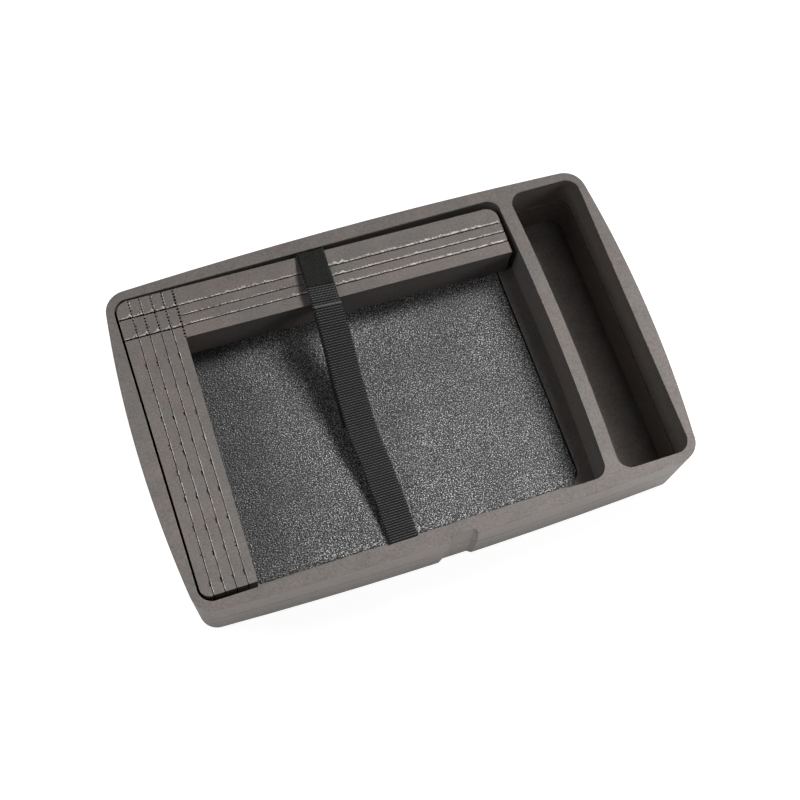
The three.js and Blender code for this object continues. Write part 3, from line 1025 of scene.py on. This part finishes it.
def strip_form(route, width, steps, lanes, relief, start=0.0, end=None, lean=None):
    """A flat strip along a route: a grid laid on the path, with relief(s, t) added to its face.

    s is the distance along the route, and t goes from -1 to 1 across the strip.
    """
    end = route.length if end is None else end
    form = bmesh.new()
    run = form.loops.layers.uv.new("run")
    bmesh.ops.create_grid(form, x_segments=steps, y_segments=lanes, size=0.5, calc_uvs=False)
    form.verts.ensure_lookup_table()
    places = {}
    for vert in form.verts:
        s = start + (vert.co.x + 0.5) * (end - start)
        t = vert.co.y * 2
        point, way = route.at(s)
        lift, widen = relief(s, t)
        face = point + Vector((-way.y, way.x)) * lift
        places[vert.index] = (s, t * width / 2)
        shift, roll = lie_at(point.x)
        spare = FREE_WIDTH * clamped((FREE_WITHIN - abs(point.x)) / FREE_FADE)
        across = t * (width / 2 + widen + spare / 2)
        raised = width / 2 * math.sin(roll) * clamped((point.x - BEND_Y + REST_FADE) / REST_FADE)
        vert.co = Vector((
            STRAP_CENTRE + shift + (lean(s) if lean else 0) + across * math.cos(roll),
            face.x,
            face.y - across * math.sin(roll) + raised + arch(point.x),
        ))
    for face in form.faces:
        for loop in face.loops:
            loop[run].uv = places[loop.vert.index]
    return turned_up(form)


RIB_BASE = 0.00036
RIB_HEIGHT = 0.00042
RIB_SPREAD = 0.0002
WOVEN_EDGE = 9
OUTERMOST = 0.99


def ribbed(s, t):
    """Ribs across the webbing, flatter at its woven edges."""
    wave = (0.5 + 0.5 * math.sin(2 * math.pi * s / RIB_PITCH)) ** 1.5
    edge = min(1.0, (1 - abs(t)) * WOVEN_EDGE)
    lift = RIB_BASE + RIB_HEIGHT * wave * (0.35 + 0.65 * edge)
    widen = RIB_SPREAD * wave if abs(t) > OUTERMOST else 0
    return lift, widen


WEBBING_SHELL = 0.0011
TAIL_REACH = 0.008
# The front half stops this far before the divider's inner edge, and the rear half reaches this far under it
FRONT_STOP = 0.0052
REAR_REACH = 0.1077
FRONT_REACH = SAG_LENGTH - FRONT_STOP
# How far the rear half bows to the left at its end, and how late along it
REAR_BOW = 0.0022
BOW_CURVE = 1.4


def add_front_strap():
    """The front half, from its tail between the courses to its end, where a row of yarn is paler."""
    tail = [
        Vector((-BACK_WALL - TAIL_REACH, FRONT_HINGE.y)),
        Vector((FRONT_HINGE.x - 0.002, FRONT_HINGE.y)),
    ]
    route = Route(tail + SAG)
    end = route.length - SAG_LENGTH + FRONT_REACH
    form = strip_form(route, STRAP_WIDTH, 900, 14, ribbed, end=end)
    end_row_webbing = webbing_finish("front_strap_webbing", pale_row_at=end - PALE_ROW / 2)
    piece = new_piece("front_webbing", form, end_row_webbing, None, ["front_strap", "front_strap_tail"])
    thicken(piece, WEBBING_SHELL)
    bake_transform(piece)


def add_rear_strap():
    """The rear half: up the slit behind the divider, over it, and down under the front half."""
    tail = [
        Vector((BACK_WALL + TAIL_REACH, FRONT_HINGE.y)),
        Vector((BACK_WALL - 0.0002, FRONT_HINGE.y)),
        Vector((REAR_HINGE.x, FRONT_HINGE.y + 0.0008)),
        Vector((REAR_HINGE.x, REAR_HINGE.y - 0.001)),
        Vector((REAR_HINGE.x - 0.0004, REAR_HINGE.y - 0.0002)),
        Vector((REAR_HINGE.x - 0.0012, REAR_HINGE.y)),
    ]
    under = list(reversed(below(SAG, STACK)))
    route = Route(tail + under)
    end = route.length - (SAG_LENGTH - REAR_REACH)
    bend = end - REAR_REACH

    def lean(s):
        return -REAR_BOW * clamped((s - bend) / REAR_REACH) ** BOW_CURVE

    form = strip_form(route, STRAP_WIDTH, 760, 12, ribbed, end=end, lean=lean)
    piece = new_piece("rear_webbing", form, webbing, None, ["rear_strap", "rear_strap_tail"])
    thicken(piece, WEBBING_SHELL)
    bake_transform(piece)


TAPE_MARGIN = 0.001
TAPE_WIDTH = STRAP_WIDTH - 2 * TAPE_MARGIN
TAPE_SHELL = 0.0006
HOOK_START = 0.044
LEAD_START = 0.001
LEAD_END = 0.036
NAP_ACROSS = 0.0115
NAP_SPREAD = 0.0004


def napped(scale, height):
    """The relief of a tape: an uneven nap of this height, with an uneven edge."""
    def relief(s, t):
        spot = Vector((s * scale, t * NAP_ACROSS * scale, 3.7))
        return height * (0.55 + 0.45 * noise.noise(spot)), NAP_SPREAD * noise.noise(spot * 1.7)
    return relief


def add_tape(name, body, replaced, form):
    piece = new_piece(name, form, napped_tape, body, [replaced])
    thicken(piece, TAPE_SHELL)


def add_tapes():
    """The hook tape under the front half, and the loop tape and its lead on top of the rear half."""
    nap = napped(900, 0.0008)
    end = FRONT_REACH - TAPE_MARGIN
    hook = Route(below(SAG, STRAP_THICKNESS / 2 + SEAT + TAPE_THICKNESS))
    form = strip_form(hook, TAPE_WIDTH, 260, 12, nap, HOOK_START, end)
    add_tape("hook_side_tape", "front_strap_half", "hook_tape", form)
    loop = Route(below(SAG, STACK - STRAP_THICKNESS / 2 - SEAT))
    form = strip_form(loop, TAPE_WIDTH, 200, 12, nap, SAG_LENGTH - REAR_REACH + TAPE_MARGIN, end)
    add_tape("loop_side_tape", "rear_strap_half", "loop_tape", form)
    level = REAR_HINGE.y + STRAP_THICKNESS / 2 + SEAT
    lead = Route([Vector((REAR_HINGE.x - LEAD_START, level)), Vector((REAR_HINGE.x - LEAD_END, level))])
    form = strip_form(lead, TAPE_WIDTH, 90, 50, napped(1100, 0.0009))
    add_tape("loop_lead_nap", "rear_strap_half", "loop_lead", form)


add_front_strap()
add_rear_strap()
add_tapes()


# Stage and light

WHITE = (1, 1, 1, 1)


def stage_finish():
    """A table: white with the object's shadow to the camera, and as bright as a lit sweep to the rest."""
    finish = Finish("white_table")

    def lit(reflected, glow):
        plain = finish.node("ShaderNodeBsdfDiffuse", values={"Color": (*grey(reflected), 1)})
        shine = finish.node("ShaderNodeEmission", values={"Color": WHITE, "Strength": glow})
        return finish.node("ShaderNodeAddShader", values={0: plain, 1: shine})

    seen = finish.node("ShaderNodeLightPath", output="Is Camera Ray")
    to_the_rest = lit(reflected=0.9, glow=0.9)
    to_the_camera = lit(reflected=0.35, glow=0.93)
    shader = finish.node("ShaderNodeMixShader", values={0: seen, 1: to_the_rest, 2: to_the_camera})
    return finish.finished(shader)


def add_stage():
    form = bmesh.new()
    bmesh.ops.create_grid(form, x_segments=1, y_segments=1, size=6)
    mesh = bpy.data.meshes.new("table")
    form.to_mesh(mesh)
    form.free()
    table = bpy.data.objects.new("table", mesh)
    mesh.materials.append(stage_finish())
    bpy.context.collection.objects.link(table)


def add_lamp(name, place, aim, size, power, spread=180):
    data = bpy.data.lights.new(name, "AREA")
    data.shape = "SQUARE"
    data.size = size
    data.energy = power
    data.spread = math.radians(spread)
    lamp = bpy.data.objects.new(name, data)
    way = (Vector(aim) - Vector(place)).to_track_quat("-Z", "Y")
    lamp.matrix_world = Matrix.Translation(place) @ way.to_matrix().to_4x4()
    bpy.context.collection.objects.link(lamp)


SKY_TINT = (0.88, 0.96, 1, 1)
SKY_STRENGTH = 0.025


def add_sky():
    """A dim, slightly cool studio round the object, which the camera sees as white."""
    world = bpy.data.worlds.new("studio")
    bpy.context.scene.world = world
    world.use_nodes = True
    nodes = Nodes(world.node_tree)
    seen = nodes.node("ShaderNodeLightPath", output="Is Camera Ray")
    dim = nodes.node("ShaderNodeBackground", values={"Color": SKY_TINT, "Strength": SKY_STRENGTH})
    white = nodes.node("ShaderNodeBackground", values={"Color": WHITE, "Strength": 1})
    sky = nodes.node("ShaderNodeMixShader", values={0: seen, 1: dim, 2: white})
    nodes.node("ShaderNodeOutputWorld", values={"Surface": sky})


add_stage()
add_lamp("key", place=(1.020, 0.476, 1.405), aim=(-0.45, -1.45, 0), size=0.6, power=20.4, spread=90)
add_lamp("near_key", place=(0.481, 0.094, 0.755), aim=(0, -0.5, 0.05), size=0.28, power=0.25, spread=110)
add_lamp("left_fill", place=(-0.6, 0.08, 0.45), aim=(0, 0, 0.05), size=0.28, power=1.45)
add_lamp("front_fill", place=(0.598, -0.598, 0.308), aim=(0, 0, 0.05), size=0.28, power=1.2)
add_lamp("pocket_fill", place=(0.27, -0.05, 0.45), aim=(0.185, -0.05, 0), size=0.1, power=0.06, spread=90)
add_sky()

bpy.context.scene.view_settings.view_transform = "Standard"
